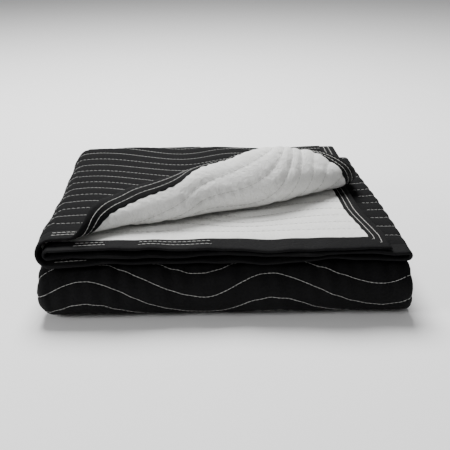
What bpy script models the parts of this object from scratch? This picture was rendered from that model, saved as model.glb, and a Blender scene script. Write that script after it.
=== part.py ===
"""A quilted moving pad, folded in four across and in three along, with one corner turned back.

Metres, +Z up. The origin is under the middle of the stack, on the surface that it lies on.
The sheet is black outside and white inside. It is laid out by two numbers: how far across it
a point is (from the free right edge of the top layer, round every fold, to the free right edge
of the second layer) and how many quilted puffs along it (from the free front edges, round the
rear and the front fold, to the free rear edges underneath).
"""

from collections import namedtuple

import bpy
import numpy as np
from mathutils import Matrix

# The folded pad
WIDTH = 0.465  # outside of the left folds to outside of the right folds
DEPTH = 0.412  # front fold to rear fold
LAYER_STEP = 0.0088  # from the middle of one layer to the middle of the next
PUFF_HALF = 0.0033  # from the middle of a layer to the top of its puffs
SEAM_HALF = 0.0021  # the same at a line of stitches
INNER_SEAM_HALF = 0.0027
FREE_EDGE_SHORT = 0.027  # how far the two free right edges stop short of the right fold
FRONT_EDGE_BACK = 0.011  # how far the free front edges stay behind the front fold
REAR_EDGE_BACK = 0.014

# The quilting: wavy lines that run across the pad
PUFF_PITCH = 0.0275
WAVE_LENGTH = 0.229
WAVE_HEIGHT = 0.62  # half of the wave, in puffs
WAVE_SKEW = 0.25  # 0 gives even slopes; more makes one slope steeper
WAVE_CREST = 0.376  # where across the sheet a line lies furthest along it
WAVE_DRIFT = 0.0012  # how far the wave moves across for each puff along
WAVE_FADE = 4.5  # puffs in which the lines straighten before a bound edge
PULL = 1.0  # half of the slow bend, in puffs, that sets the lines askew on the folded pad
PULL_LENGTH = 1.6
PULL_MIDDLE = 0.54

# The lining, where its white side shows, and the binding tape
LINED_HALF = 0.0021  # from the middle of a layer to the back of the lining's puffs
LINED_SEAM_HALF = 0.0014
LINING = 0.0012
GAP = 0.0007
LINING_GAP = 0.0012  # from the tape to the lining beside it
LINED_END = 0.5  # puffs before the rear fold: the pad is thinner up to here, to take the lining
LINING_END = 1.2  # and the lining itself stops here
BINDING = 0.024
BINDING_HALF = 0.0026

# The corner of the top layer that is turned back: its crease, and the roll along it
CREASE_START = (0.075, 0.052)  # across and along the folded pad, as shares of its two sides
CREASE_END = (0.945, 0.600)
ROLL_STEPS = 48
REST_HEIGHT = 0.009  # the turned corner comes down to this height over the top layer's middle
LANDING = 0.016  # and flattens over this much of its way down
Roll = namedtuple("Roll", "share bow radius turn down crest")
# share of the crease's length; how far the crease bows towards the corner; radius of the tight
# roll and how far it turns, in radians; how much further the cloth turns over the crest, and
# the cloth's length up to its end
ROLLS = (
    Roll(0.00, 0.000, 0.0075, 2.50, 0.90, 0.060),
    Roll(0.12, -0.012, 0.0095, 2.30, 1.00, 0.070),
    Roll(0.36, 0.004, 0.0205, 2.35, 1.50, 0.108),
    Roll(0.62, 0.026, 0.0230, 2.35, 1.75, 0.150),
    Roll(0.85, 0.018, 0.0150, 2.60, 1.60, 0.135),
    Roll(1.00, 0.000, 0.0120, 2.90, 0.80, 0.100),
)

# Heights of the layers in the strip, in layer steps; how far back each one's free front edge
# lies, at its left and at its right end; and how far a free right edge slants in behind it
Layer = namedtuple("Layer", "tight loose back_left back_right slant")
TOP, SECOND, THIRD, LOWEST = range(4)
LAYERS = (
    Layer(1.5, 1.56, 0.024, 0.004, 0.0),
    Layer(0.5, 0.44, 0.012, 0.000, 0.0155),
    Layer(-0.5, -0.58, 0.008, 0.001, 0.0),
    Layer(-1.5, -1.58, 0.004, 0.003, 0.0),
)
SLANT_START = 0.4  # puffs along
SLANT_PUFFS = 4.6

# Across the sheet: a flat run of one layer, or a fold from one layer to another
# (bunching over 1 brings the columns closer together towards the run's end)
Run = namedtuple("Run", "name first last columns bunching")
ACROSS = (
    Run("top layer", TOP, TOP, 19, 1.3),
    Run("outer left fold", TOP, LOWEST, 5, 1.0),
    Run("lowest layer", LOWEST, LOWEST, 9, 1.0),
    Run("right fold", LOWEST, THIRD, 4, 1.0),
    Run("third layer", THIRD, THIRD, 3, 1.0),
    Run("inner left fold", THIRD, SECOND, 3, 1.0),
    Run("second layer", SECOND, SECOND, 7, 1.0),
)

# Along the sheet; there is a row of points every so many half puffs, and left and right say how
# far the folds draw in where a stretch starts. The wave bends no row further than BEND_REACH, so
# the rows of a fold start that far before it
BEND_REACH = 1.6
Stretch = namedtuple("Stretch", "name puffs every left right")
ALONG = (
    Stretch("top third", 13.5, 1, 0.000, 0.000),
    Stretch("rear fold", 3.5, 1, 0.002, 0.018),
    Stretch("middle third", 13.2, 5, 0.003, 0.014),
    Stretch("front fold", 3.5, 1, -0.001, 0.002),
    Stretch("bottom third", 13.0, 5, 0.001, 0.000),
)

# How the stack leans and sags, and how its rear corners are lifted, in metres at its full height
LEAN = ((0.0025, 9.0, 0.6), (0.0020, 17.0, 2.1))  # size, radians a metre, start
SAG = ((0.0020, 8.0, 1.1), (0.0012, 21.0, 0.3))
SAG_ASKEW = 0.6  # how much the sag's waves run along the pad as well as across
CORNER_LIFT = 0.0045
CORNER_LIFT_START = (0.06, 0.08)  # from the middle of the pad, across and along
CORNER_LIFT_REACH = (0.10, 0.12)

Look = namedtuple("Look", "colour roughness")
BLACK_CLOTH = Look((0.012, 0.012, 0.013), 0.85)
WHITE_CLOTH = Look((0.70, 0.70, 0.67), 0.9)
BLACK_TAPE = Look((0.008, 0.008, 0.009), 0.7)

FOLD_REACH = LAYERS[TOP].tight * LAYER_STEP + PUFF_HALF
LEFT_CENTRE = -WIDTH / 2 + FOLD_REACH
RIGHT_CENTRE = WIDTH / 2 - LAYER_STEP / 2 - PUFF_HALF
FREE_EDGE = WIDTH / 2 - FREE_EDGE_SHORT
BOTTOM_HEIGHT = FOLD_REACH
MIDDLE_HEIGHT = BOTTOM_HEIGHT + len(LAYERS) * LAYER_STEP
TOP_HEIGHT = MIDDLE_HEIGHT + (LAYERS[TOP].tight + 1 - LAYERS[LOWEST].loose) * LAYER_STEP
STACK_HEIGHT = TOP_HEIGHT + LAYERS[TOP].loose * LAYER_STEP + PUFF_HALF
FRONT_RADIUS = (MIDDLE_HEIGHT - BOTTOM_HEIGHT) / 2
REAR_RADIUS = (TOP_HEIGHT - MIDDLE_HEIGHT) / 2
FRONT_CENTRE = -DEPTH / 2 + FRONT_RADIUS + FOLD_REACH
REAR_CENTRE = DEPTH / 2 - REAR_RADIUS - LAYERS[TOP].loose * LAYER_STEP - PUFF_HALF
FRONT_EDGE = -DEPTH / 2 + FRONT_EDGE_BACK
REAR_EDGE = DEPTH / 2 - REAR_EDGE_BACK
STARTS = np.cumsum([0.0] + [stretch.puffs for stretch in ALONG])
EDGE_PUFFS = BINDING / PUFF_PITCH  # the binding's width, counted in puffs
SEAM_PUFFS = (BINDING + GAP) / PUFF_PITCH


def smooth(share):
    """0 to 1 with a level start and end."""
    share = np.clip(share, 0.0, 1.0)
    return share * share * (3 - 2 * share)


def layer_height(index, looseness):
    """Height of a layer's middle in its strip of four layers."""
    layer = LAYERS[index]
    return LAYER_STEP * (layer.tight + (layer.loose - layer.tight) * looseness)


def set_back(run, share):
    """How far back the free front edge lies at this place across."""
    first, last = LAYERS[run.first], LAYERS[run.last]
    if run.first == run.last:
        rightward = share if run.first in (LOWEST, SECOND) else 1 - share
        return first.back_left + (first.back_right - first.back_left) * rightward
    if run.last == THIRD:
        return first.back_right + (last.back_right - first.back_right) * share
    return first.back_left + (last.back_left - first.back_left) * share


def along(puffs, back):
    """Middle of the strip (y, z), which way its top layer lies (ny, nz), looseness and draw-in."""
    share = [(puffs - STARTS[k]) / ALONG[k].puffs for k in range(len(ALONG))]
    part = np.clip(np.searchsorted(STARTS, puffs, side="right") - 1, 0, len(ALONG) - 1)
    rear, front = np.pi * share[1], np.pi * share[3]
    rear_mid = (TOP_HEIGHT + MIDDLE_HEIGHT) / 2
    front_mid = (MIDDLE_HEIGHT + BOTTOM_HEIGHT) / 2
    level = np.zeros_like(puffs)
    y = np.choose(part, [
        FRONT_EDGE + back + (REAR_CENTRE - FRONT_EDGE - back) * share[0],
        REAR_CENTRE + REAR_RADIUS * np.sin(rear),
        REAR_CENTRE + (FRONT_CENTRE - REAR_CENTRE) * share[2],
        FRONT_CENTRE - FRONT_RADIUS * np.sin(front),
        FRONT_CENTRE + (REAR_EDGE - FRONT_CENTRE) * share[4],
    ])
    z = np.choose(part, [
        TOP_HEIGHT + level,
        rear_mid + REAR_RADIUS * np.cos(rear),
        MIDDLE_HEIGHT + level,
        front_mid + FRONT_RADIUS * np.cos(front),
        BOTTOM_HEIGHT + level,
    ])
    ny = np.choose(part, [level, np.sin(rear), level, np.sin(front), level])
    nz = np.choose(part, [1 + level, np.cos(rear), level - 1, -np.cos(front), 1 + level])
    looseness = 1 - smooth(share[1])
    left = np.interp(puffs, STARTS[:-1], [stretch.left for stretch in ALONG])
    right = np.interp(puffs, STARTS[:-1], [stretch.right for stretch in ALONG])
    return y, z, ny, nz, looseness, left, right


def across(run, share, puffs, looseness, left, right):
    """A layer's middle (x, t) in the strip and which way its black side faces (nx, nt)."""
    left_centre, right_centre = LEFT_CENTRE + left, RIGHT_CENTRE - right
    slant = LAYERS[run.last].slant * smooth((puffs - SLANT_START) / SLANT_PUFFS)
    free_edge = FREE_EDGE - right - slant
    first, last = layer_height(run.first, looseness), layer_height(run.last, looseness)
    level = np.zeros_like(share + looseness)
    if run.first == run.last:
        ends = {
            TOP: (free_edge, left_centre),
            LOWEST: (left_centre, right_centre),
            THIRD: (right_centre, left_centre),
            SECOND: (left_centre, free_edge),
        }[run.first]
        side = 1.0 if run.first in (TOP, THIRD) else -1.0
        return ends[0] + (ends[1] - ends[0]) * share + level, first + level, level, side + level
    radius = (first - last) / 2
    turn = np.pi * share
    if run.last == THIRD:
        x = right_centre - radius * np.sin(turn)
    else:
        x = left_centre - np.abs(radius) * np.sin(turn)
    t = (first + last) / 2 + radius * np.cos(turn)
    black = 1.0 if run.last != SECOND else -1.0
    out = 1.0 if run.last == THIRD else -1.0
    return x, t, black * out * np.sin(turn), black * np.sign(radius) * np.cos(turn)


def run_length(run):
    """Length of cloth in a run, for a strip that is folded tight."""
    if run.first == run.last:
        short = RIGHT_CENTRE - FREE_EDGE if run.first in (TOP, SECOND) else 0.0
        return RIGHT_CENTRE - LEFT_CENTRE - short
    return np.pi * abs(layer_height(run.first, 0.0) - layer_height(run.last, 0.0)) / 2


LENGTHS = [run_length(run) for run in ACROSS]
RUN_STARTS = np.cumsum([0.0] + LENGTHS)


def wave(distance, puffs):
    """How far along, in puffs, a quilting line lies from its middle at this distance across."""
    fade = smooth((puffs - SEAM_PUFFS) / WAVE_FADE) * smooth(
        (STARTS[-1] - SEAM_PUFFS - puffs) / WAVE_FADE
    )
    turn = 2 * np.pi * (distance - WAVE_CREST - WAVE_DRIFT * puffs) / WAVE_LENGTH
    waves = WAVE_HEIGHT * np.cos(turn + WAVE_SKEW * (1 - np.cos(turn)))
    pull = PULL * np.sin(2 * np.pi * (distance - PULL_MIDDLE) / PULL_LENGTH)
    return fade * (waves + pull)


def crease_frame():
    """Start of the crease and its directions in plan: along it, and towards the turned corner."""
    start = np.array([
        (CREASE_START[0] - 0.5) * WIDTH,
        FRONT_EDGE + CREASE_START[1] * DEPTH,
    ])
    end = np.array([
        (CREASE_END[0] - 0.5) * WIDTH,
        FRONT_EDGE + CREASE_END[1] * DEPTH,
    ])
    length = np.linalg.norm(end - start)
    way = (end - start) / length
    return start, way, np.array([way[1], -way[0]]), length


def eased(share, column):
    """A column of the table of rolls, read between its rows with a level start and end."""
    value = np.full_like(share, getattr(ROLLS[0], column))
    for before, after in zip(ROLLS[:-1], ROLLS[1:]):
        step = getattr(after, column) - getattr(before, column)
        value = value + step * smooth((share - before.share) / (after.share - before.share))
    return value


def turned_corner(x, y):
    """Where the corner's middle lies: plan shift, rise and slope at a flat point of the top layer."""
    start, way, out, length = crease_frame()
    run = ((x - start[0]) * way[0] + (y - start[1]) * way[1]) / length
    bow, radius, turn, down, crest = (eased(run, column) for column in Roll._fields[1:])
    past = np.maximum((x - start[0]) * out[0] + (y - start[1]) * out[1] - bow, 0.0)
    tight = radius * turn
    step = past / ROLL_STEPS
    forward, rise = np.zeros_like(past), np.zeros_like(past)
    for number in range(ROLL_STEPS):
        walked = step * (number + 0.5)
        slope = turn * np.clip(walked / tight, 0.0, 1.0)
        slope = slope + down * smooth((walked - tight) / (crest - tight))
        landed = 1 - smooth((rise - REST_HEIGHT) / LANDING)
        slope = slope - np.maximum(slope - np.pi, 0.0) * landed
        forward = forward + step * np.cos(slope)
        rise = rise + step * np.sin(slope)
    return (forward - past) * out[0], (forward - past) * out[1], rise, slope, out


def settle(points):
    """Leans and sags the stack a little, nothing at its flat bottom and more towards its top."""
    x, y, z = points[..., 0], points[..., 1], points[..., 2]
    height = z / STACK_HEIGHT
    lean = sum(size * np.sin(rate * y + start) for size, rate, start in LEAN)
    push = sum(size * np.sin(rate * x + start) for size, rate, start in LEAN)
    sag = sum(size * np.sin(rate * (x + SAG_ASKEW * y) + start) for size, rate, start in SAG)
    rearward = smooth((y - CORNER_LIFT_START[1]) / CORNER_LIFT_REACH[1])
    sideward = smooth((np.abs(x) - CORNER_LIFT_START[0]) / CORNER_LIFT_REACH[0])
    lift = CORNER_LIFT * rearward * sideward
    return np.stack([x + height * lean, y + height * push, z + height * (sag + lift)], axis=-1)


def place(run, share, puffs, offset):
    """Points of the folded sheet, offset from its middle towards its black side."""
    y, z, ny, nz, looseness, left, right = along(puffs, set_back(run, share))
    x, t, nx, nt = across(run, share, puffs, looseness, left, right)
    x, t = x + nx * offset, t + nt * offset
    if run.first == run.last == TOP:
        shift_x, shift_y, rise, slope, out = turned_corner(x, y)
        turned = np.stack([
            x + shift_x - offset * np.sin(slope) * out[0],
            y + shift_y - offset * np.sin(slope) * out[1],
            z + layer_height(TOP, looseness) + rise + offset * np.cos(slope),
        ], axis=-1)
        folded = np.stack([x, y + t * ny, z + t * nz], axis=-1)
        is_turned = (puffs < STARTS[1]) & (rise != 0.0)
        return settle(np.where(is_turned[..., None], turned, folded))
    return settle(np.stack([x, y + t * ny, z + t * nz], axis=-1))


def column_list():
    """(run, share) of each column of the quilted sheet, seam to seam."""
    columns = []
    for number, run in enumerate(ACROSS):
        start = (BINDING + GAP) / LENGTHS[number] if number == 0 else 0.0
        end = 1 - (BINDING + GAP) / LENGTHS[number] if number == len(ACROSS) - 1 else 1.0
        for k in range(run.columns):
            share = 1 - (1 - k / run.columns) ** run.bunching
            columns.append((number, start + (end - start) * share))
    return columns + [(len(ACROSS) - 1, end)]


def row_list():
    """(puffs, is a line of stitches) of each row of the quilted sheet before the wave bends it."""
    rows = []
    last = STARTS[-1] - SEAM_PUFFS
    for half in range(int((last - SEAM_PUFFS) * 2)):
        puffs = SEAM_PUFFS + half / 2
        near = np.clip([puffs - BEND_REACH, puffs, puffs + BEND_REACH], 0.0, last)
        parts = np.searchsorted(STARTS, near, side="right") - 1
        every = min(ALONG[part].every for part in parts)
        if half % every == 0:
            rows.append((puffs, every == 1 and half % 2 == 0))
    return rows + [(last, False)]


COLUMNS = column_list()
ROWS, AT_SEAM = (np.array(values) for values in zip(*row_list()))


def bent_rows(column):
    """The rows' puffs where they cross a column."""
    number, share = column
    return ROWS + wave(RUN_STARTS[number] + share * LENGTHS[number], ROWS)


def grid(columns, rows, offsets, first_puffs=SEAM_PUFFS):
    """Points for each column and row, at the offset of each."""
    points = []
    for column, offset in zip(columns, offsets):
        number, share = column
        puffs = np.maximum(bent_rows(column)[rows], first_puffs)
        points.append(place(ACROSS[number], np.full_like(puffs, share), puffs, offset))
    return np.array(points)


def closed_sheet(front, back):
    """Corners and triangles of the solid between two grids; front is the side that faces out."""
    columns, rows = front.shape[:2]
    index = np.arange(columns * rows).reshape(columns, rows)
    low, high = index[:-1, :], index[1:, :]
    a, b, c, d = low[:, :-1], low[:, 1:], high[:, :-1], high[:, 1:]
    one = np.stack([a, b, c], axis=-1).reshape(-1, 3)
    two = np.stack([c, b, d], axis=-1).reshape(-1, 3)
    front_faces = np.concatenate([one, two])
    back_faces = front_faces[:, ::-1] + columns * rows
    rim = np.concatenate([index[:, 0], index[-1, 1:], index[-2::-1, -1], index[0, -2:0:-1]])
    following = np.roll(rim, -1)
    walls = np.concatenate([
        np.stack([rim, following, following + columns * rows], axis=-1),
        np.stack([rim, following + columns * rows, rim + columns * rows], axis=-1),
    ])
    points = np.concatenate([front.reshape(-1, 3), back.reshape(-1, 3)])
    return points, np.concatenate([front_faces, back_faces, walls])


def closed_loop(sections):
    """Corners and triangles of a ring, from one closed section of points at each station."""
    stations, corners = sections.shape[:2]
    index = np.arange(stations * corners).reshape(stations, corners)
    after = np.roll(index, -1, axis=0)
    a, b = index, np.roll(index, -1, axis=1)
    c, d = after, np.roll(after, -1, axis=1)
    faces = np.concatenate([
        np.stack([a, c, b], axis=-1).reshape(-1, 3),
        np.stack([c, d, b], axis=-1).reshape(-1, 3),
    ])
    return sections.reshape(-1, 3), faces


def add_piece(name, points, faces, look):
    """One closed piece as an object with its own material."""
    mesh = bpy.data.meshes.new(name)
    mesh.from_pydata(points.tolist(), [], faces.tolist())
    mesh.shade_smooth()
    mesh.set_sharp_from_angle(angle=np.radians(50))
    material = bpy.data.materials.new(name)
    material.use_nodes = True
    shader = material.node_tree.nodes["Principled BSDF"]
    shader.inputs["Base Color"].default_value = (*look.colour, 1.0)
    shader.inputs["Roughness"].default_value = look.roughness
    mesh.materials.append(material)
    piece = bpy.data.objects.new(name, mesh)
    bpy.context.scene.collection.objects.link(piece)
    return piece


def is_lined(column, puffs):
    """Where the white lining is a piece of its own: the two upper layers of the top third."""
    flat = column[0] in (0, len(ACROSS) - 1)
    return flat & (puffs < STARTS[1] - LINED_END)


def quilted_sheet():
    """Black face cloth and its filling, raised in puffs between the wavy lines of stitches."""
    every = np.arange(len(ROWS))
    plain = np.where(AT_SEAM, INNER_SEAM_HALF, PUFF_HALF)
    under = np.where(AT_SEAM, LINED_SEAM_HALF, LINED_HALF)
    black = [np.where(AT_SEAM, SEAM_HALF, PUFF_HALF)] * len(COLUMNS)
    white = [-np.where(is_lined(column, ROWS), under, plain) for column in COLUMNS]
    front = grid(COLUMNS, every, black)
    back = grid(COLUMNS, every, white)
    return add_piece("quilted_face", *closed_sheet(front, back), BLACK_CLOTH)


def lining(name, run_number):
    """White cloth on the inner side of one layer of the top third, where it shows."""
    columns = [column for column in COLUMNS if column[0] == run_number]
    inset = (BINDING + LINING_GAP) / LENGTHS[run_number]
    if run_number == 0:
        columns[0] = (0, inset)
    else:
        columns[-1] = (run_number, 1 - inset)
    rows = np.flatnonzero(ROWS < STARTS[1] - LINING_END)
    top = np.where(AT_SEAM, LINED_SEAM_HALF, LINED_HALF)[rows] + GAP
    first_puffs = (BINDING + LINING_GAP) / PUFF_PITCH
    inner = grid(columns, rows, [-top] * len(columns), first_puffs)
    outer = grid(columns, rows, [-top - LINING] * len(columns), first_puffs)
    return add_piece(name, *closed_sheet(inner, outer), WHITE_CLOTH)


# The binding's section: share of its width from the quilting to the edge, share of its thickness
TAPE_SECTION = (
    (0.0, 0.8), (0.5, 1.0), (0.9, 0.72), (1.0, 0.0), (0.9, -0.72), (0.5, -1.0), (0.0, -0.8),
)


def tape_stations():
    """(run, share, puffs) at the seam and at the edge, in order right round the sheet."""
    last = len(ACROSS) - 1
    seam_shares = {COLUMNS[0]: BINDING / LENGTHS[0], COLUMNS[-1]: 1 - BINDING / LENGTHS[last]}
    edge_shares = {COLUMNS[0]: 0.0, COLUMNS[-1]: 1.0}
    front_seam, rear_seam = EDGE_PUFFS, STARTS[-1] - EDGE_PUFFS

    def crossing(column, seam, edge):
        run, share = column
        at_seam = (run, seam_shares.get(column, share), seam)
        return at_seam, (run, edge_shares.get(column, share), edge)

    stations = [crossing(column, front_seam, 0.0) for column in COLUMNS]
    stations += [crossing(COLUMNS[-1], puffs, puffs) for puffs in bent_rows(COLUMNS[-1])[1:-1]]
    stations += [crossing(column, rear_seam, STARTS[-1]) for column in reversed(COLUMNS)]
    stations += [crossing(COLUMNS[0], puffs, puffs) for puffs in bent_rows(COLUMNS[0])[-2:0:-1]]
    return stations


def binding():
    """Black tape right round the sheet's edge, thinner than the puffs beside it."""
    sections = []
    for seam, edge in tape_stations():
        section = []
        for share, half in TAPE_SECTION:
            across_share = seam[1] + (edge[1] - seam[1]) * share
            puffs = np.array([seam[2] + (edge[2] - seam[2]) * share])
            offset = BINDING_HALF * half
            section.append(place(ACROSS[seam[0]], np.array([across_share]), puffs, offset)[0])
        sections.append(section)
    return add_piece("edge_binding", *closed_loop(np.array(sections)), BLACK_TAPE)


def clear_scene():
    for old in list(bpy.data.objects):
        bpy.data.objects.remove(old, do_unlink=True)


def centre(pieces):
    """Moves the pieces in plan until the middle of the whole lies over the origin."""
    corners = np.array([vertex.co for piece in pieces for vertex in piece.data.vertices])
    middle = (corners.min(axis=0) + corners.max(axis=0)) / 2
    for piece in pieces:
        piece.data.transform(Matrix.Translation((-middle[0], -middle[1], 0.0)))


def main():
    clear_scene()
    centre([
        quilted_sheet(),
        lining("lining_turned_corner", 0),
        lining("lining_second_layer", len(ACROSS) - 1),
        binding(),
    ])


main()
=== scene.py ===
import math

import bpy
import numpy as np
from mathutils import Matrix


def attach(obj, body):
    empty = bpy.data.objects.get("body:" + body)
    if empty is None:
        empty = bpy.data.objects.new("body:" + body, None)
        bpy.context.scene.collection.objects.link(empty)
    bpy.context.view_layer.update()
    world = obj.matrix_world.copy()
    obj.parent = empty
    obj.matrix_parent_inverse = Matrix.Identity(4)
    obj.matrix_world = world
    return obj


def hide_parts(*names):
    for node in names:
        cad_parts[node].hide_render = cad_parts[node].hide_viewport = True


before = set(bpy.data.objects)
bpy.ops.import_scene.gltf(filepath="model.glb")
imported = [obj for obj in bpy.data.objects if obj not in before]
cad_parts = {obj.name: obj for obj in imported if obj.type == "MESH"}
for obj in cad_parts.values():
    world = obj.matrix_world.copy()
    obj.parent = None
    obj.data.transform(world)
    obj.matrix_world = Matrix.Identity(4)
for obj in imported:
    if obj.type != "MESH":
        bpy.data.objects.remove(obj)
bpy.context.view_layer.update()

# A quilted moving pad: black outside, white inside, folded in four across and in three along,
# with the front right corner of its top layer turned back. Metres, +Z up.
# A place on the sheet is (run, share across that run, puffs along).

# the folded pad

foldedPad = {
    "width": 0.465,              # left folds to right folds
    "depth": 0.412,              # front fold to rear fold
    "layerStep": 0.0088,         # middle of one layer to the middle of the next
    "puffHalf": 0.0033,          # middle of a layer to the top of a puff
    "seamHalf": 0.0021,          # the same at a line of stitches
    "innerPuffHalf": 0.0038,     # the white side
    "innerSeamHalf": 0.0024,
    "puffSpare": 0.0006,         # a puff may rise this much higher, but not on the underside
    "undersideFrom": 3.0,        # puffs after the front fold's start
    "freeEdgeShort": 0.027,      # the free right edges stop this far short of the right fold
    "slantStart": 0.4,           # puffs along, where a slanting free edge starts to draw in
    "slantPuffs": 4.6,           # and over how many it does
    "frontEdgeBack": 0.011,      # the free front edges, behind the front fold
    "rearEdgeBack": 0.014,
}

top, second, third, lowest = range(4)
# height in the strip in layer steps (folded tight, lying loose), how far back each free front
# edge lies at its left and right end, and how far its free right edge slants in
layers = [
    {"tight": 1.5, "loose": 1.56, "backLeft": 0.024, "backRight": 0.004, "slant": 0.0},
    {"tight": 0.5, "loose": 0.44, "backLeft": 0.012, "backRight": 0.000, "slant": 0.0155},
    {"tight": -0.5, "loose": -0.58, "backLeft": 0.008, "backRight": 0.001, "slant": 0.0},
    {"tight": -1.5, "loose": -1.58, "backLeft": 0.004, "backRight": 0.003, "slant": 0.0},
]

# across the sheet, from the free edge of the top layer to that of the second; columns of mesh
# on the black side, on the white side and along the tape
runs = [
    {"name": "top layer", "first": top, "last": top, "face": 150, "lining": 190, "tape": 150},
    {"name": "outer left fold", "first": top, "last": lowest, "face": 18, "lining": 6, "tape": 14},
    {"name": "lowest layer", "first": lowest, "last": lowest, "face": 120, "lining": 8, "tape": 110},
    {"name": "right fold", "first": lowest, "last": third, "face": 10, "lining": 4, "tape": 8},
    {"name": "third layer", "first": third, "last": third, "face": 24, "lining": 6, "tape": 110},
    {"name": "inner left fold", "first": third, "last": second, "face": 4, "lining": 6, "tape": 6},
    {"name": "second layer", "first": second, "last": second, "face": 24, "lining": 150, "tape": 150},
]

# along the sheet; mesh rows to a puff, and how far the folds draw in where the stretch starts
stretches = [
    {"name": "top third", "puffs": 13.5, "face": 9, "lining": 12, "left": 0.000, "right": 0.000},
    {"name": "rear fold", "puffs": 3.5, "face": 9, "lining": 3, "left": 0.002, "right": 0.018},
    {"name": "middle third", "puffs": 13.2, "face": 3, "lining": 1, "left": 0.003, "right": 0.014},
    {"name": "front fold", "puffs": 3.5, "face": 12, "lining": 3, "left": -0.001, "right": 0.002},
    {"name": "bottom third", "puffs": 13.0, "face": 3, "lining": 1, "left": 0.001, "right": 0.000},
]

quilting = {
    "pitch": 0.0275,
    "waveLength": 0.229,
    "waveHeight": 0.62,          # half of the wave, in puffs
    "skew": 0.25,                # 0 gives even slopes; more makes one slope steeper
    "crest": 0.376,              # metres across, where a line lies furthest along
    "drift": 0.0012,             # the wave moves across this much for each puff
    "fade": 4.5,                 # puffs in which it straightens before a bound edge
    "pull": 1.0,                 # half of the slow bend that sets the lines askew, in puffs
    "pullLength": 1.6,
    "pullMiddle": 0.54,
    "roundness": 0.62,           # lower is fuller puffs
    "uneven": 0.22,              # share by which the puffs differ in height
    "unevenRate": 30,            # radians a metre
    "pucker": 0.00035,           # small creases that start at the stitches
    "puckerLength": 0.011,
    "puckerRate": 60,
    "puckerShift": 0.004,        # how far the white side's are moved from the black side's
    "puckerFrom": 0.2,           # puffs from the stitches, and over how many they fade
    "puckerFade": 0.14,
}

turnedCorner = {
    "creaseStart": (0.075, 0.052),   # shares of the pad's width and depth
    "creaseEnd": (0.945, 0.600),
    "steps": 48,
    "restHeight": 0.009,         # the corner comes down to this height over the top layer
    "landing": 0.016,            # and flattens over this much of its way down
    "looseRise": (0.012, 0.02),  # lumps start at this height over the layer, and grow over this
    "looseSlope": 1.5,           # radians of slope in which they grow
    # share of the crease, how far it bows to the corner, radius of the roll, its turn, its turn
    # over the crest, and the cloth's length up to the crest's end
    "rolls": [
        {"share": 0.00, "bow": 0.000, "radius": 0.0075, "turn": 2.50, "down": 0.90, "crest": 0.060},
        {"share": 0.12, "bow": -0.012, "radius": 0.0095, "turn": 2.30, "down": 1.00, "crest": 0.070},
        {"share": 0.36, "bow": 0.004, "radius": 0.0205, "turn": 2.35, "down": 1.50, "crest": 0.108},
        {"share": 0.62, "bow": 0.026, "radius": 0.0230, "turn": 2.35, "down": 1.75, "crest": 0.150},
        {"share": 0.85, "bow": 0.018, "radius": 0.0150, "turn": 2.60, "down": 1.60, "crest": 0.135},
        {"share": 1.00, "bow": 0.000, "radius": 0.0120, "turn": 2.90, "down": 0.80, "crest": 0.100},
    ],
}

settling = {
    "lean": [(0.0025, 9.0, 0.6), (0.0020, 17.0, 2.1)],   # size, rate, start
    "sag": [(0.0020, 8.0, 1.1), (0.0012, 21.0, 0.3)],
    "sagAskew": 0.6,
    "cornerLift": 0.0045,        # the two rear corners
    "liftStart": (0.06, 0.08),   # from the pad's middle, across and along
    "liftReach": (0.10, 0.12),
}

softness = {
    "lump": 0.0009,              # soft lumps in the turned corner
    "lumpRate": 95,              # radians a metre
    "crinkle": 0.00036,          # small sharp creases in the white cloth
    "crinkleRate": 560,
    "coarseCrinkle": (0.4, 0.6), # share of the rate, share of the height
    "fineCrinkle": 0.8,
    "scallop": 0.0011,           # dents along the lines of stitches
    "scallopLength": 0.015,
    "scallopFade": 0.24,         # puffs in which a dent fades
    "scallopRate": 25,
    "faceScallop": 0.35,         # share of the dents on the black side
    "secondLining": 0.5,         # share of the white side's softness on the second layer
    "wrinkle": 0.0015,           # upright wrinkles in the front and left folds
    "wrinkleRates": (1.1, 230),  # along (a puff) and across (a metre)
    "wrinkleGrow": 1.5,          # puffs before the front fold in which they grow
    "wrinkleStop": 0.7,          # puffs before its end where they stop
    "wrinkleFade": 1.2,
    "leftWrinkles": 0.6,         # share of them in the left fold away from the front
    "leftRates": (2.2, 14),
    "edge": 0.0038,              # how unevenly the free front edges lie
    "edgeDrop": 0.0016,
    "edgeRate": 50,
    "edgeRateAlong": 0.3,
    "edgeDropRate": 1.4,         # times the rate above
    "fineEdgeRate": 130,
    "fineEdge": 0.25,            # share of the drop
    "edgePuffs": 2.0,            # puffs in which the unevenness fades
    "droop": 0.0034,             # how far the second layer's front edge hangs down
    "droopPuffs": 1.1,
    "droopFrom": (-0.10, 0.12),  # metres across where it starts, and in which it grows
}

seeds = {
    "puffs": 4,
    "frontWrinkles": 5,
    "puckers": 8,
    "scallops": 9,
    "leftWrinkles": 12,
    "tape": 15,
    "edgeBack": 21,              # plus the number of the run
    "lumps": 31,
    "crinkles": 40,              # and the next one
    "edgeDown": 61,
    "fineEdgeDown": 71,          # plus the number of the run
}

tape = {
    "width": 0.024,
    "gap": 0.0007,               # between the tape and the quilted cloth
    "half": 0.0026,              # half of its thickness, with the pad's edge inside
    "uneven": 0.10,              # share by which that differs
    "unevenRate": 40,
}

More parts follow.
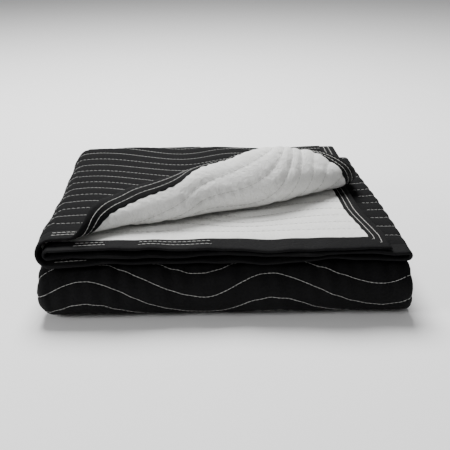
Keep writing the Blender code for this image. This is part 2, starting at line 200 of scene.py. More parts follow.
step = foldedPad["layerStep"]
foldReach = layers[top]["tight"] * step + foldedPad["puffHalf"]
leftCentre = -foldedPad["width"] / 2 + foldReach
rightCentre = foldedPad["width"] / 2 - step / 2 - foldedPad["puffHalf"]
freeEdge = foldedPad["width"] / 2 - foldedPad["freeEdgeShort"]
bottomHeight = foldReach
middleHeight = bottomHeight + len(layers) * step
topHeight = middleHeight + (layers[top]["tight"] + 1 - layers[lowest]["loose"]) * step
stackHeight = topHeight + layers[top]["loose"] * step + foldedPad["puffHalf"]
frontRadius = (middleHeight - bottomHeight) / 2
rearRadius = (topHeight - middleHeight) / 2
frontCentre = -foldedPad["depth"] / 2 + frontRadius + foldReach
rearCentre = foldedPad["depth"] / 2 - rearRadius - layers[top]["loose"] * step - foldedPad["puffHalf"]
frontEdge = -foldedPad["depth"] / 2 + foldedPad["frontEdgeBack"]
rearEdge = foldedPad["depth"] / 2 - foldedPad["rearEdgeBack"]
starts = np.cumsum([0.0] + [stretch["puffs"] for stretch in stretches])
stretchNames = [stretch["name"] for stretch in stretches]
topThird = stretchNames.index("top third")
rearFold = stretchNames.index("rear fold")
middleThird = stretchNames.index("middle third")
frontFold = stretchNames.index("front fold")
bottomThird = stretchNames.index("bottom third")
edgePuffs = tape["width"] / quilting["pitch"]
seamPuffs = (tape["width"] + tape["gap"]) / quilting["pitch"]
lastSeam = starts[-1] - seamPuffs


def smooth(share):
    share = np.clip(share, 0.0, 1.0)
    return share * share * (3 - 2 * share)


# Soft uneven noise, about -1 to 1, from a few crossed waves
def ripples(a, b, seed):
    source = np.random.default_rng(seed)
    waves, highest = 7, 3.2
    total = np.zeros(np.broadcast(a, b).shape)
    for _ in range(waves):
        way = source.uniform(0, math.pi)
        speed = source.uniform(0.6, 1.7)
        start = source.uniform(0, 6.3)
        total = total + np.sin(speed * (a * math.cos(way) + b * math.sin(way)) + start)
    return total / highest


def layerHeight(index, looseness):
    layer = layers[index]
    return step * (layer["tight"] + (layer["loose"] - layer["tight"]) * looseness)


def setBack(run, share):
    first, last = layers[run["first"]], layers[run["last"]]
    if run["first"] == run["last"]:
        rightward = share if run["first"] in (lowest, second) else 1 - share
        return first["backLeft"] + (first["backRight"] - first["backLeft"]) * rightward
    side = "backRight" if run["last"] == third else "backLeft"
    return first[side] + (last[side] - first[side]) * share


# Middle of the strip (y, z), the way its top layer lies (ny, nz), looseness and draw-in
def along(puffs, back):
    share = [(puffs - starts[k]) / stretches[k]["puffs"] for k in range(len(stretches))]
    part = np.clip(np.searchsorted(starts, puffs, side="right") - 1, 0, len(stretches) - 1)
    rear, front = np.pi * share[rearFold], np.pi * share[frontFold]
    level = np.zeros_like(puffs)
    y = np.choose(part, [
        frontEdge + back + (rearCentre - frontEdge - back) * share[topThird],
        rearCentre + rearRadius * np.sin(rear),
        rearCentre + (frontCentre - rearCentre) * share[middleThird],
        frontCentre - frontRadius * np.sin(front),
        frontCentre + (rearEdge - frontCentre) * share[bottomThird],
    ])
    z = np.choose(part, [
        topHeight + level,
        (topHeight + middleHeight) / 2 + rearRadius * np.cos(rear),
        middleHeight + level,
        (middleHeight + bottomHeight) / 2 + frontRadius * np.cos(front),
        bottomHeight + level,
    ])
    ny = np.choose(part, [level, np.sin(rear), level, np.sin(front), level])
    nz = np.choose(part, [1 + level, np.cos(rear), level - 1, -np.cos(front), 1 + level])
    left = np.interp(puffs, starts[:-1], [stretch["left"] for stretch in stretches])
    right = np.interp(puffs, starts[:-1], [stretch["right"] for stretch in stretches])
    return y, z, ny, nz, 1 - smooth(share[rearFold]), left, right


# A layer's middle (x, t) in the strip and the way its black side faces (nx, nt)
def across(run, share, puffs, looseness, left, right):
    leftX, rightX = leftCentre + left, rightCentre - right
    slant = smooth((puffs - foldedPad["slantStart"]) / foldedPad["slantPuffs"])
    edgeX = freeEdge - right - layers[run["last"]]["slant"] * slant
    first, last = layerHeight(run["first"], looseness), layerHeight(run["last"], looseness)
    level = np.zeros_like(share + looseness)
    if run["first"] == run["last"]:
        ends = {
            top: (edgeX, leftX),
            lowest: (leftX, rightX),
            third: (rightX, leftX),
            second: (leftX, edgeX),
        }[run["first"]]
        side = 1.0 if run["first"] in (top, third) else -1.0
        return ends[0] + (ends[1] - ends[0]) * share + level, first + level, level, side + level
    radius, turn = (first - last) / 2, np.pi * share
    isRight = run["last"] == third
    x = rightX - radius * np.sin(turn) if isRight else leftX - np.abs(radius) * np.sin(turn)
    t = (first + last) / 2 + radius * np.cos(turn)
    black = -1.0 if run["last"] == second else 1.0
    out = 1.0 if isRight else -1.0
    return x, t, black * out * np.sin(turn), black * np.sign(radius) * np.cos(turn)


def runLength(run):
    if run["first"] == run["last"]:
        short = rightCentre - freeEdge if run["first"] in (top, second) else 0.0
        return rightCentre - leftCentre - short
    return np.pi * abs(layerHeight(run["first"], 0.0) - layerHeight(run["last"], 0.0)) / 2


lengths = [runLength(run) for run in runs]
runStarts = np.cumsum([0.0] + lengths)
runNames = [run["name"] for run in runs]
leftFoldRun = runNames.index("outer left fold")
lowestRun = runNames.index("lowest layer")
rightFoldRun = runNames.index("right fold")
thirdRun = runNames.index("third layer")
secondRun = runNames.index("second layer")


# How far along, in puffs, a quilting line lies from its middle at this distance across
def wave(distance, puffs):
    fade = smooth((puffs - seamPuffs) / quilting["fade"]) * smooth((lastSeam - puffs) / quilting["fade"])
    turn = 2 * np.pi * (distance - quilting["crest"] - quilting["drift"] * puffs) / quilting["waveLength"]
    waves = quilting["waveHeight"] * np.cos(turn + quilting["skew"] * (1 - np.cos(turn)))
    pulled = 2 * np.pi * (distance - quilting["pullMiddle"]) / quilting["pullLength"]
    return fade * (waves + quilting["pull"] * np.sin(pulled))


def creaseFrame():
    corner = np.array([-foldedPad["width"] / 2, frontEdge])
    size = np.array([foldedPad["width"], foldedPad["depth"]])
    start = corner + size * turnedCorner["creaseStart"]
    end = corner + size * turnedCorner["creaseEnd"]
    length = np.linalg.norm(end - start)
    way = (end - start) / length
    return start, way, np.array([way[1], -way[0]]), length


def eased(share, name):
    rolls = turnedCorner["rolls"]
    value = np.full_like(share, rolls[0][name])
    for before, after in zip(rolls[:-1], rolls[1:]):
        value = value + (after[name] - before[name]) * smooth(
            (share - before["share"]) / (after["share"] - before["share"])
        )
    return value


# Where the turned corner's middle goes: shift in plan, rise, slope and the way out
def turned(x, y):
    start, way, out, length = creaseFrame()
    share = ((x - start[0]) * way[0] + (y - start[1]) * way[1]) / length
    bow, radius, turn, down, crest = (
        eased(share, name) for name in ("bow", "radius", "turn", "down", "crest")
    )
    past = np.maximum((x - start[0]) * out[0] + (y - start[1]) * out[1] - bow, 0.0)
    tight = radius * turn
    stride = past / turnedCorner["steps"]
    forward, rise = np.zeros_like(past), np.zeros_like(past)
    for number in range(turnedCorner["steps"]):
        walked = stride * (number + 0.5)
        slope = turn * np.clip(walked / tight, 0.0, 1.0)
        slope = slope + down * smooth((walked - tight) / (crest - tight))
        landed = 1 - smooth((rise - turnedCorner["restHeight"]) / turnedCorner["landing"])
        slope = slope - np.maximum(slope - np.pi, 0.0) * landed
        forward = forward + stride * np.cos(slope)
        rise = rise + stride * np.sin(slope)
    return (forward - past) * out[0], (forward - past) * out[1], rise, slope, out


def settle(points):
    x, y, z = points[..., 0], points[..., 1], points[..., 2]
    height = z / stackHeight
    lean = sum(size * np.sin(rate * y + start) for size, rate, start in settling["lean"])
    push = sum(size * np.sin(rate * x + start) for size, rate, start in settling["lean"])
    askew = x + settling["sagAskew"] * y
    sag = sum(size * np.sin(rate * askew + start) for size, rate, start in settling["sag"])
    rearward = smooth((y - settling["liftStart"][1]) / settling["liftReach"][1])
    sideward = smooth((np.abs(x) - settling["liftStart"][0]) / settling["liftReach"][0])
    sag = sag + settling["cornerLift"] * rearward * sideward
    return np.stack([x + height * lean, y + height * push, z + height * sag], axis=-1)


# Upright wrinkles of the outer layer, in the front fold and a little in the left fold
def wrinkles(run, share, puffs):
    number = runs.index(run)
    if number not in (leftFoldRun, lowestRun):
        return 0.0
    distance = runStarts[number] + share * lengths[number]
    grown = smooth((puffs - starts[frontFold] + softness["wrinkleGrow"]) / softness["wrinkleGrow"])
    toStop = starts[bottomThird] - softness["wrinkleStop"] - puffs
    inFold = grown * smooth(toStop / softness["wrinkleFade"])
    if number == leftFoldRun:
        alongRate, acrossRate = softness["leftRates"]
        inFold = np.maximum(inFold, softness["leftWrinkles"])
        noise = ripples(puffs * alongRate, distance * acrossRate, seeds["leftWrinkles"])
    else:
        alongRate, acrossRate = softness["wrinkleRates"]
        noise = ripples(distance * acrossRate, puffs * alongRate, seeds["frontWrinkles"])
    return softness["wrinkle"] * inFold * noise


# How unevenly a free front edge lies (back, down)
def frontEdgeShift(run, x, puffs):
    number = runs.index(run)
    level = puffs * softness["edgeRateAlong"]
    near = smooth(1 - puffs / softness["edgePuffs"])
    back = softness["edge"] * near * ripples(x * softness["edgeRate"], level, seeds["edgeBack"] + number)
    wide = ripples(x * softness["edgeRate"] * softness["edgeDropRate"], level, seeds["edgeDown"])
    fine = ripples(x * softness["fineEdgeRate"], level, seeds["fineEdgeDown"] + number)
    down = softness["edgeDrop"] * near * wide + softness["fineEdge"] * softness["edgeDrop"] * near * fine
    if number == secondRun:
        start, reach = softness["droopFrom"]
        hanging = smooth(1 - puffs / softness["droopPuffs"])
        down = down + softness["droop"] * hanging * smooth((x - start) / reach)
    return back, down


# Points of the folded sheet, offset from its middle towards its black side
def place(run, share, puffs, offset):
    offset = offset + wrinkles(run, share, puffs)
    y, z, ny, nz, looseness, left, right = along(puffs, setBack(run, share))
    x, t, nx, nt = across(run, share, puffs, looseness, left, right)
    x, t = x + nx * offset, t + nt * offset
    folded = np.stack([x, y + t * ny, z + t * nz], axis=-1)
    if run["first"] == run["last"] == top:
        shiftX, shiftY, rise, slope, out = turned(x, y)
        start, reach = turnedCorner["looseRise"]
        loose = smooth(slope / turnedCorner["looseSlope"]) * smooth((rise - start) / reach)
        noise = ripples(x * softness["lumpRate"], y * softness["lumpRate"], seeds["lumps"])
        offset = offset + softness["lump"] * loose * noise
        lifted = np.stack([
            x + shiftX - offset * np.sin(slope) * out[0],
            y + shiftY - offset * np.sin(slope) * out[1],
            z + layerHeight(top, looseness) + rise + offset * np.cos(slope),
        ], axis=-1)
        isTurned = (puffs < starts[rearFold]) & (rise != 0.0)
        folded = np.where(isTurned[..., None], lifted, folded)
    back, down = frontEdgeShift(run, x, puffs)
    folded[..., 1] += back
    folded[..., 2] -= down
    settled = settle(folded)
    settled[..., 2] = np.maximum(settled[..., 2], 0.0)
    return settled


# (run number, shares) of the mesh columns of each run, seam to seam
def shareList(key):
    columns = []
    for number, run in enumerate(runs):
        seam = (tape["width"] + tape["gap"]) / lengths[number]
        start = seam if number == 0 else 0.0
        end = 1 - seam if number == secondRun else 1.0
        shares = start + (end - start) * np.arange(run[key]) / run[key]
        if number == secondRun:
            shares = np.append(shares, end)
        columns.append((number, shares))
    return columns


# Puffs along of each mesh row; every line of stitches has a row
def rowList(key):
    rows = []
    for puff in range(int(math.ceil(lastSeam - seamPuffs))):
        at = np.searchsorted(starts, seamPuffs + puff + 0.5, side="right") - 1
        count = stretches[min(at, len(stretches) - 1)][key]
        rows += [seamPuffs + puff + k / count for k in range(count)]
    return np.array([row for row in rows if row < lastSeam - 1e-6] + [lastSeam])


# 0 at a line of stitches to 1 on top of a puff
def puffShape(rows, distance):
    phase = rows - seamPuffs
    arch = np.abs(np.sin(np.pi * phase)) ** quilting["roundness"]
    noise = ripples(distance * quilting["unevenRate"], rows, seeds["puffs"])
    return arch * (1 + quilting["uneven"] * noise)


# Small creases across the lines of stitches, strongest beside them; the odd numbers in this and
# the next function only set each line's creases apart from the next line's
def puckers(rows, distance):
    phase = rows - seamPuffs
    toLine = np.abs(phase - np.round(phase))
    puff = np.floor(phase)
    crease = np.sin(2 * np.pi * distance / quilting["puckerLength"] + 9.1 * np.sin(puff * 2.3))
    crease = crease * ripples(distance * quilting["puckerRate"], puff * 3.1, seeds["puckers"])
    fade = np.exp(-((toLine - quilting["puckerFrom"]) / quilting["puckerFade"]) ** 2)
    return quilting["pucker"] * crease * fade


# Dents along the lines of stitches, where the thread draws the filling in
def scallops(rows, distance):
    phase = rows - seamPuffs
    line = np.round(phase)
    toLine = np.abs(phase - line)
    turn = 2 * np.pi * distance / softness["scallopLength"] + 5 * np.sin(line * 1.7)
    noise = ripples(distance * softness["scallopRate"], line * 1.3, seeds["scallops"])
    dent = 0.5 + 0.5 * np.sin(turn + 1.6 * noise)
    return softness["scallop"] * dent * np.exp(-((toLine / softness["scallopFade"]) ** 2))


# Sharp little creases all over, from folded soft noise
def crinkles(rows, distance):
    x = distance * softness["crinkleRate"]
    y = rows * quilting["pitch"] * softness["crinkleRate"]
    rate, height = softness["coarseCrinkle"]
    coarse = 1 - 2 * np.abs(ripples(x * rate, y * rate, seeds["crinkles"]))
    fine = 1 - 2 * np.abs(ripples(x, y, seeds["crinkles"] + 1))
    return softness["crinkle"] * (height * coarse + softness["fineCrinkle"] * fine)


# Points and flat-sheet coordinates of one side of the cloth
def sheetGrid(key, offsetOf):
    rows = rowList(key)
    points, flats = [], []
    for number, shares in shareList(key):
        distance = runStarts[number] + shares[:, None] * lengths[number] + 0 * rows[None, :]
        level = rows[None, :] + 0 * distance
        puffs = level + wave(distance, level)
        share = shares[:, None] + 0 * puffs
        points.append(place(runs[number], share, puffs, offsetOf(number, distance, level)))
        flats.append(np.stack([distance, puffs * quilting["pitch"]], axis=-1))
    return np.concatenate(points), np.concatenate(flats)


def faceOffset(number, distance, rows):
    low, high = foldedPad["seamHalf"], foldedPad["puffHalf"]
    height = low + (high - low) * puffShape(rows, distance) + puckers(rows, distance)
    height = height - softness["faceScallop"] * scallops(rows, distance)
    isUnderside = (number == lowestRun) & (rows > starts[frontFold] + foldedPad["undersideFrom"])
    return np.minimum(height, high + np.where(isUnderside, 0.0, foldedPad["puffSpare"]))


def liningOffset(number, distance, rows):
    low, high = foldedPad["innerSeamHalf"], foldedPad["innerPuffHalf"]
    loose = 1.0 if number == 0 else softness["secondLining"]
    creases = puckers(rows, distance + quilting["puckerShift"])
    height = low + (high - low) * loose * puffShape(rows, distance) + creases
    return -(height - loose * (scallops(rows, distance) - crinkles(rows, distance)))


def meshObject(name, points, faces, flat=None):
    mesh = bpy.data.meshes.new(name)
    mesh.from_pydata(points.reshape(-1, 3).tolist(), [], faces)
    if flat is not None:
        layer = mesh.uv_layers.new(name="flatCloth")
        loops = np.zeros(len(mesh.loops), dtype=np.int64)
        mesh.loops.foreach_get("vertex_index", loops)
        layer.data.foreach_set("uv", flat.reshape(-1, 2)[loops].astype(np.float32).ravel())
    mesh.shade_smooth()
    piece = bpy.data.objects.new(name, mesh)
    bpy.context.scene.collection.objects.link(piece)
    return piece


def gridFaces(points, flip=False):
    columns, rows = points.shape[:2]
    index = np.arange(columns * rows).reshape(columns, rows)
    quads = np.stack([index[:-1, :-1], index[:-1, 1:], index[1:, 1:], index[1:, :-1]], axis=-1)
    quads = quads.reshape(-1, 4)
    return (quads[:, ::-1] if flip else quads).tolist()


# Faces of a tube that closes on itself, from its rings of points
def ringFaces(points):
    rings, corners = points.shape[:2]
    index = np.arange(rings * corners).reshape(rings, corners)
    after = np.roll(index, -1, axis=0)
    quads = np.stack([index, after, np.roll(after, -1, axis=1), np.roll(index, -1, axis=1)], axis=-1)
    return quads.reshape(-1, 4).tolist()


# the camera and the studio

camera = {
    "location": (-0.028, -1.04, 0.485),
    "down": 23.0,
    "right": 1.8,
    "lens": 61.8,
}

cameraData = bpy.data.cameras.new("camera")
cameraData.lens = camera["lens"]
cameraData.sensor_width = 36
cameraObject = bpy.data.objects.new("camera", cameraData)
cameraObject.location = camera["location"]
cameraObject.rotation_euler = (math.radians(90 - camera["down"]), 0, -math.radians(camera["right"]))
bpy.context.scene.collection.objects.link(cameraObject)
bpy.context.scene.camera = cameraObject

studio = {
    "floorColour": (0.96, 0.96, 0.96, 1),
    "floorReach": 6.0,
    "floorHeight": -0.0004,
    "target": (0, 0, 0.05),
    "worldStrength": 0.20,
    "keyPlace": (-0.25, 0.95, 1.95),
    "keySize": 1.2,
    "keyPower": 100,
    "fillPlace": (-2.2, -1.2, 1.2),
    "fillSize": 0.9,
    "fillPower": 34,
}


def areaLight(name):
    location = studio[name + "Place"]
    data = bpy.data.lights.new(name + "Light", "AREA")
    data.shape = "DISK"
    data.size = studio[name + "Size"]
    data.energy = studio[name + "Power"]
    light = bpy.data.objects.new(name + "Light", data)
    light.location = location
    aim = np.array(studio["target"]) - np.array(location)
    flat = math.hypot(aim[0], aim[1])
    light.rotation_euler = (math.atan2(flat, -aim[2]), 0, math.atan2(aim[1], aim[0]) - math.pi / 2)
    bpy.context.scene.collection.objects.link(light)


def buildStudio():
    reach, height = studio["floorReach"], studio["floorHeight"]
    signs = ((-1, -1), (1, -1), (1, 1), (-1, 1))
    corners = np.array([(reach * x, reach * y, height) for x, y in signs])
    floor = meshObject("floor", corners, [(0, 1, 2, 3)])
    material = bpy.data.materials.new("floorPaper")
    material.use_nodes = True
    shader = material.node_tree.nodes["Principled BSDF"]
    shader.inputs["Base Color"].default_value = studio["floorColour"]
    shader.inputs["Roughness"].default_value = 0.9
    floor.data.materials.append(material)
    world = bpy.data.worlds.new("studio")
    world.use_nodes = True
    background = world.node_tree.nodes["Background"]
    background.inputs["Color"].default_value = (1, 1, 1, 1)
    background.inputs["Strength"].default_value = studio["worldStrength"]
    bpy.context.scene.world = world
    areaLight("key")
    areaLight("fill")


buildStudio()
print("studio and camera are in place")

# materials


def newMaterial(name, look):
    material = bpy.data.materials.new(name)
    material.use_nodes = True
    shader = material.node_tree.nodes["Principled BSDF"]
    shader.inputs["Roughness"].default_value = look["roughness"]
    shader.inputs["Sheen Weight"].default_value = look["sheen"]
    shader.inputs["Sheen Roughness"].default_value = 0.5
    shader.inputs["Specular IOR Level"].default_value = 0.12
    return material, material.node_tree, shader


def addNode(tree, kind, **values):
    node = tree.nodes.new(kind)
    for name, value in values.items():
        node.inputs[name].default_value = value
    return node


def colourRamp(tree, factor, shader, dark, light, first, last):
    ramp = tree.nodes.new("ShaderNodeValToRGB")
    low, high = ramp.color_ramp.elements
    low.position, high.position = first, last
    low.color, high.color = (*dark, 1), (*light, 1)
    tree.links.new(factor, ramp.inputs["Fac"])
    tree.links.new(ramp.outputs["Color"], shader.inputs["Base Color"])


def mathNode(tree, operation, a, b=None):
    node = tree.nodes.new("ShaderNodeMath")
    node.operation = operation
    for socket, value in zip(node.inputs, (a, b)):
        if value is None:
            continue
        if isinstance(value, (int, float)):
            socket.default_value = value
        else:
            tree.links.new(value, socket)
    return node.outputs[0]


# Plain weave in the cloth's own coordinates: height of the yarns, slubs and small creases
def weaveGroup():
    group = bpy.data.node_groups.new("plainWeave", "ShaderNodeTree")
    for name in ("Yarn Pitch", "Slub Size", "Crease Size"):
        group.interface.new_socket(name, in_out="INPUT", socket_type="NodeSocketFloat")
    for name in ("Height", "Slub", "Crease"):
        group.interface.new_socket(name, in_out="OUTPUT", socket_type="NodeSocketFloat")
    source = group.nodes.new("NodeGroupInput")
    result = group.nodes.new("NodeGroupOutput")
    uv = group.nodes.new("ShaderNodeUVMap")
    uv.uv_map = "flatCloth"
    parts = group.nodes.new("ShaderNodeSeparateXYZ")
    group.links.new(uv.outputs["UV"], parts.inputs[0])
    waves = []
    for axis in ("X", "Y"):
        turns = mathNode(group, "DIVIDE", parts.outputs[axis], source.outputs["Yarn Pitch"])
        waves.append(mathNode(group, "SINE", mathNode(group, "MULTIPLY", turns, math.pi)))
    over = mathNode(group, "MULTIPLY", waves[0], waves[1])
    warp = mathNode(group, "ABSOLUTE", waves[0])
    weft = mathNode(group, "ABSOLUTE", waves[1])
    warp = mathNode(group, "MULTIPLY", warp, mathNode(group, "ADD", over, 0.6))
    weft = mathNode(group, "MULTIPLY", weft, mathNode(group, "SUBTRACT", 0.6, over))
    yarns = mathNode(group, "MAXIMUM", warp, weft)
    slubs = addNode(group, "ShaderNodeTexNoise", Detail=3.0)
    folds = addNode(group, "ShaderNodeTexNoise", Detail=2.0, Distortion=0.6)
    for noise, size in ((slubs, "Slub Size"), (folds, "Crease Size")):
        group.links.new(uv.outputs["UV"], noise.inputs["Vector"])
        group.links.new(mathNode(group, "DIVIDE", 1.0, source.outputs[size]), noise.inputs["Scale"])
    ridge = mathNode(group, "ABSOLUTE", mathNode(group, "SUBTRACT", folds.outputs["Fac"], 0.5))
    ridge = mathNode(group, "SUBTRACT", 1.0, mathNode(group, "MULTIPLY", ridge, 4.0))
    group.links.new(yarns, result.inputs["Height"])
    group.links.new(slubs.outputs["Fac"], result.inputs["Slub"])
    group.links.new(ridge, result.inputs["Crease"])
    return group


plainWeave = weaveGroup()


def bumpNode(tree, height, strength, distance):
    bump = addNode(tree, "ShaderNodeBump", Strength=strength, Distance=distance)
    tree.links.new(height, bump.inputs["Height"])
    return bump


def clothMaterial(name, look):
    material, tree, shader = newMaterial(name, look)
    weave = tree.nodes.new("ShaderNodeGroup")
    weave.node_tree = plainWeave
    weave.inputs["Yarn Pitch"].default_value = look["yarnPitch"]
    weave.inputs["Slub Size"].default_value = look["slubSize"]
    weave.inputs["Crease Size"].default_value = look["creaseSize"]
    slubs = mathNode(tree, "MULTIPLY", weave.outputs["Slub"], 0.7)
    mixed = mathNode(tree, "ADD", slubs, mathNode(tree, "MULTIPLY", weave.outputs["Height"], 0.3))
    colourRamp(tree, mixed, shader, look["dark"], look["light"], 0.25, 0.75)
    creases = bumpNode(tree, weave.outputs["Crease"], 0.8, look["creaseHeight"])
    bump = bumpNode(tree, mixed, 0.6, look["weaveHeight"])
    tree.links.new(creases.outputs["Normal"], bump.inputs["Normal"])
    tree.links.new(bump.outputs["Normal"], shader.inputs["Normal"])
    return material


faceCloth = clothMaterial("blackFaceCloth", {
    "dark": (0.002, 0.002, 0.0022),
    "light": (0.007, 0.007, 0.0075),
    "roughness": 0.9,
    "sheen": 0.0,
    "yarnPitch": 0.0008,
    "slubSize": 0.003,
    "creaseSize": 0.006,
    "weaveHeight": 0.0004,
    "creaseHeight": 0.0005,
})
liningCloth = clothMaterial("whiteLiningCloth", {
    "dark": (0.70, 0.70, 0.68),
    "light": (0.86, 0.86, 0.84),
    "roughness": 0.95,
    "sheen": 0.1,
    "yarnPitch": 0.0011,
    "slubSize": 0.0022,
    "creaseSize": 0.006,
    "weaveHeight": 0.0006,
    "creaseHeight": 0.0007,
})
tapeCloth = clothMaterial("blackTape", {
    "dark": (0.002, 0.002, 0.0022),
    "light": (0.006, 0.006, 0.0065),
    "roughness": 0.8,
    "sheen": 0.0,
    "yarnPitch": 0.0009,
    "slubSize": 0.004,
    "creaseSize": 0.006,
    "weaveHeight": 0.0003,
    "creaseHeight": 0.0004,
})


def threadMaterial(name, colour):
    material, tree, shader = newMaterial(name, {"roughness": 0.55, "sheen": 0.1})
    noise = addNode(tree, "ShaderNodeTexNoise", Scale=900.0, Detail=2.0)
    dark = [value * 0.8 for value in colour]
    colourRamp(tree, noise.outputs["Fac"], shader, dark, colour, 0.0, 1.0)
    return material


quiltThread = threadMaterial("quiltThread", (0.64, 0.64, 0.62))
# the white side's thread is darker than the other threads: painted shade, standing in for the small shadows
# along its lines of stitches
shadedLiningThread = threadMaterial("shadedLiningThread", (0.48, 0.48, 0.46))
tapeThread = threadMaterial("tapeThread", (0.80, 0.80, 0.77))

# the two sides of the cloth

facePoints, faceFlat = sheetGrid("face", faceOffset)
liningPoints, liningFlat = sheetGrid("lining", liningOffset)
print("cloth laid out:", facePoints.shape, liningPoints.shape)

# the binding tape

# from the seam to near the edge on the black side: share of the width, thickness in halves
tapeProfile = [
    (-0.06, 0.80), (-0.03, 0.98), (0.02, 1.04), (0.16, 1.0),
    (0.5, 0.98), (0.78, 0.96), (0.92, 0.80), (0.985, 0.42),
]
tapeSection = tapeProfile + [(1.0, 0.0)] + [(share, -thick) for share, thick in reversed(tapeProfile)]


# Right round the sheet: (run, share at the seam, share at the edge, puffs at the seam and the edge)
def tapeStations():
    rows = rowList("face")
    nearSeam = tape["width"] / lengths[0]
    farSeam = 1 - tape["width"] / lengths[secondRun]
    crossings = [(number, share, share) for number, shares in shareList("tape") for share in shares]
    crossings[0] = (0, nearSeam, 0.0)
    crossings[-1] = (secondRun, farSeam, 1.0)
    nearRows = rows + wave(np.full_like(rows, nearSeam * lengths[0]), rows)
    farRows = rows + wave(np.full_like(rows, runStarts[secondRun] + farSeam * lengths[secondRun]), rows)
    seamEnd, edgeEnd = starts[-1] - edgePuffs, starts[-1]
    stations = [(number, inner, outer, edgePuffs, 0.0) for number, inner, outer in crossings]
    stations += [(secondRun, farSeam, 1.0, puffs, puffs) for puffs in farRows[1:-1]]
    stations += [(number, inner, outer, seamEnd, edgeEnd) for number, inner, outer in reversed(crossings)]
    stations += [(0, nearSeam, 0.0, puffs, puffs) for puffs in nearRows[-2:0:-1]]
    return stations


def tapeUnevenness(distance, puffs):
    noise = ripples(distance * tape["unevenRate"], puffs * 1.3, seeds["tape"])
    return 1 + tape["uneven"] * noise


# For each run: its stations and, at a share of the tape's width, their places across and along
def tapePlaces(share):
    stations = np.array(tapeStations())
    for number in range(len(runs)):
        members = np.flatnonzero(stations[:, 0] == number)
        seam, edge, seamPuff, edgePuff = stations[members, 1:].T
        where = seam + (edge - seam) * share
        puffs = seamPuff + (edgePuff - seamPuff) * share
        yield number, members, where, puffs, runStarts[number] + where * lengths[number]


def tapeRing():
    count = len(tapeStations())
    points = np.zeros((count, len(tapeSection), 3))
    flats = np.zeros((count, len(tapeSection), 2))
    for corner, (share, thick) in enumerate(tapeSection):
        for number, members, where, puffs, distance in tapePlaces(share):
            offset = tape["half"] * thick * tapeUnevenness(distance, puffs)
            points[members, corner] = place(runs[number], where, puffs, offset)
            flats[members, corner] = np.stack([distance, puffs * quilting["pitch"]], axis=-1)
    return points, flats


tapePoints, tapeFlat = tapeRing()
print("tape laid out:", tapePoints.shape)

# stitches

stitching = {
    "length": 0.0052,
    "gaps": (0.0002, 0.0012),    # on every other line; the front fold has the first
    "radius": 0.00029,
    "rise": 0.00016,
    "fullness": 0.4,             # lower keeps a stitch high nearly to its ends
    "dip": 0.45,                 # how far the ends dip in, in radii
    "endWidth": 0.45,            # share of the thread's width at the ends
    "flatness": 0.8,
    "sides": 5,
    "stations": 4,
    "lift": 0.0001,              # middle of the thread over the sheet's surface at the seam
    "spacing": 0.0012,           # between the points of a line
    "normalStep": 0.0005,
    "tangentStep": 0.0004,
    "shownMargin": 0.8,          # puffs that a line runs on past a fold that shows
    "thirdShown": 0.06,          # share of the third layer beside the right fold
}
tapeSewing = {
    "rows": (0.24, 0.56),        # shares of the tape's width from its inner edge
    "length": 0.0058,
    "gap": 0.0002,
    "radius": 0.00031,
    "sink": 0.0013,
    "sinkPuffs": 1.2,            # puffs along in which they are sunk, and over how many it fades
    "sinkFade": 0.25,
    "shownFade": 0.02,
    "shown": {                   # shares of each run where they show
        lowestRun: [(0.0, 0.12)],
        thirdRun: [(0.16, 0.44)],
        secondRun: [(0.06, 0.18), (0.25, 0.49), (0.93, 1.1)],
    },
}


# Tubes for the stitches along one polyline, each ending in the cloth
def stitchRow(path, normals, length, gap, radius):
    walked = np.append(0.0, np.cumsum(np.linalg.norm(np.diff(path, axis=0), axis=1)))
    count = int(walked[-1] // (length + gap))
    sides, stationCount = stitching["sides"], stitching["stations"]
    endWidth, ahead = stitching["endWidth"], stitching["tangentStep"]
    begin = (np.arange(count) + 0.5) * (length + gap) - length / 2
    share = np.linspace(0, 1, stationCount)
    at = begin[:, None] + length * share[None, :]

    def read(values, where):
        return np.stack([np.interp(where, walked, values[:, k]) for k in range(3)], axis=-1)

    centre, normal = read(path, at), read(normals, at)
    normal /= np.linalg.norm(normal, axis=-1, keepdims=True)
    tangent = read(path, at + ahead) - read(path, at - ahead)
    tangent /= np.maximum(np.linalg.norm(tangent, axis=-1, keepdims=True), 1e-9)
    side = np.cross(tangent, normal)
    arch = (np.maximum(np.sin(np.pi * share), 0.0) ** stitching["fullness"])[None, :, None]
    dip = radius * stitching["dip"]
    centre = centre + normal * (arch * (stitching["rise"] + dip) - dip)
    width = radius * (endWidth + (1 - endWidth) * np.sqrt(arch))
    turn = 2 * np.pi * np.arange(sides) / sides
    ring = (
        centre[:, :, None, :]
        + (side * width)[:, :, None, :] * np.cos(turn)[None, None, :, None]
        + (normal * width * stitching["flatness"])[:, :, None, :] * np.sin(turn)[None, None, :, None]
    )
    points = ring.reshape(-1, 3)
    index = np.arange(len(points)).reshape(count, stationCount, sides)
    after = np.roll(index, -1, axis=2)
    quads = np.stack([index[:, :-1], index[:, 1:], after[:, 1:], after[:, :-1]], axis=-1).reshape(-1, 4)
    caps = np.concatenate([index[:, 0, ::-1], index[:, -1, :]])
    return points, quads, caps


def joinRows(rows):
    faces, base = [], 0
    for points, quads, caps in rows:
        faces += (quads + base).tolist()
        faces += (caps + base).tolist()
        base += len(points)
    return np.concatenate([points for points, quads, caps in rows]), faces


# A quilting line's points and normals over one run
def lineOnSheet(number, line, offset, shareFrom, shareTo):
    run = runs[number]
    count = max(4, int(lengths[number] * (shareTo - shareFrom) / stitching["spacing"]))
    share = np.linspace(shareFrom, shareTo, count)
    distance = runStarts[number] + share * lengths[number]
    level = np.full_like(distance, seamPuffs + line)
    puffs = level + wave(distance, level)
    low = place(run, share, puffs, offset)
    high = place(run, share, puffs, offset + math.copysign(stitching["normalStep"], offset))
    return low, high - low


faceLines = int(lastSeam - seamPuffs) + 1
topLines = int(starts[rearFold] - seamPuffs) + 1
seamShareTop = (tape["width"] + tape["gap"]) / lengths[0]


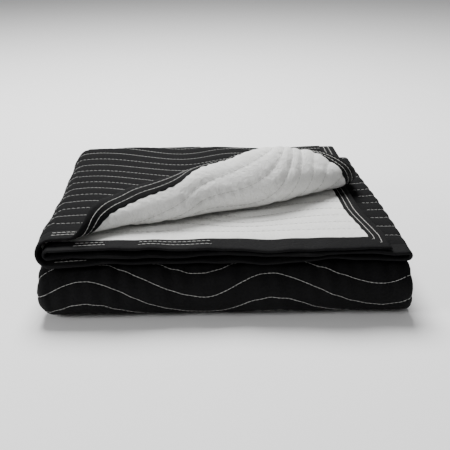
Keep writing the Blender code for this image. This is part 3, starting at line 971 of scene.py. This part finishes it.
# The lines on the top, the left and right folds, the strip beside the second layer's free
# edge, the front and rear folds and the underside; the others are hidden
def quiltStitches():
    rows = []
    height = foldedPad["seamHalf"] + stitching["lift"]
    margin = stitching["shownMargin"]
    for line in range(1, faceLines):
        level = seamPuffs + line
        isInside = starts[middleThird] + margin < level < starts[frontFold] - margin
        leftward, rightward = [], []
        if level < starts[middleThird] + margin:
            leftward.append((0, seamShareTop, 1.0))
        leftward.append((leftFoldRun, 0.0, 1.0))
        if level > starts[middleThird] - margin and not isInside:
            leftward.append((lowestRun, 0.0, 1.0))
        rightward.append((rightFoldRun, 0.0, 1.0))
        rightward.append((thirdRun, 0.0, stitching["thirdShown"]))
        for stretch in (leftward, rightward):
            found = [lineOnSheet(number, line, height, first, last) for number, first, last in stretch]
            path = np.concatenate([low for low, norm in found])
            norms = np.concatenate([norm for low, norm in found])
            gap = stitching["gaps"][line % 2 if level < starts[rearFold] else 0]
            rows.append(stitchRow(path, norms, stitching["length"], gap, stitching["radius"]))
    return joinRows(rows)


def liningStitches():
    rows = []
    height = -(foldedPad["innerSeamHalf"] + stitching["lift"])
    for line in range(1, topLines):
        for number, first, last in ((0, seamShareTop, 1.0), (secondRun, 0.0, 1 - seamShareTop)):
            low, norm = lineOnSheet(number, line, height, first, last)
            rows.append(stitchRow(low, norm, stitching["length"], stitching["gaps"][1], stitching["radius"]))
    return joinRows(rows)


# How deep the stitches sink into the squeezed front edges, which hides all but some of them
def sunken(number, share, puffs):
    if number == 0:
        return 0.0
    fade = tapeSewing["shownFade"]
    hidden = smooth((tapeSewing["sinkPuffs"] - puffs) / tapeSewing["sinkFade"])
    for first, last in tapeSewing["shown"].get(number, []):
        hidden = hidden * (1 - smooth((share - first) / fade) * smooth((last - share) / fade))
    return tapeSewing["sink"] * hidden


def tapeStitches():
    rows = []
    length, gap, radius = tapeSewing["length"], tapeSewing["gap"], tapeSewing["radius"]
    for share in tapeSewing["rows"]:
        for side in (1.0, -1.0):
            low = np.zeros((len(tapePoints), 3))
            high = np.zeros((len(tapePoints), 3))
            for number, members, where, puffs, distance in tapePlaces(share):
                thick = tape["half"] * tapeUnevenness(distance, puffs)
                offset = side * (thick - sunken(number, where, puffs))
                low[members] = place(runs[number], where, puffs, offset)
                high[members] = place(runs[number], where, puffs, offset + side * stitching["normalStep"])
            low = np.concatenate([low, low[:1]])
            high = np.concatenate([high, high[:1]])
            rows.append(stitchRow(low, high - low, length, gap, radius))
    return joinRows(rows)


# the finished pieces

outer = np.concatenate([facePoints.reshape(-1, 3), tapePoints.reshape(-1, 3)])
planMiddle = (outer.min(axis=0) + outer.max(axis=0)) / 2


def finished(piece, material):
    piece.data.transform(Matrix.Translation((-planMiddle[0], -planMiddle[1], 0.0)))
    piece.data.materials.append(material)
    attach(piece, "root")
    return piece


padFace = finished(meshObject("padFace", facePoints, gridFaces(facePoints), faceFlat), faceCloth)
padLining = finished(
    meshObject("padLining", liningPoints, gridFaces(liningPoints, True), liningFlat),
    liningCloth,
)
padTape = finished(meshObject("padTape", tapePoints, ringFaces(tapePoints), tapeFlat), tapeCloth)
print("cloth and tape made")

quiltPoints, quiltFaces = quiltStitches()
quiltStitching = finished(meshObject("quiltStitches", quiltPoints, quiltFaces), quiltThread)
liningStitchPoints, liningStitchFaces = liningStitches()
liningStitching = finished(meshObject("liningStitches", liningStitchPoints, liningStitchFaces), shadedLiningThread)
tapeStitchPoints, tapeStitchFaces = tapeStitches()
tapeStitching = finished(meshObject("tapeStitches", tapeStitchPoints, tapeStitchFaces), tapeThread)
print("stitches made:", len(quiltFaces), len(liningStitchFaces), len(tapeStitchFaces))

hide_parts("quilted_face")
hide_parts("lining_turned_corner", "lining_second_layer")
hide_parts("edge_binding")
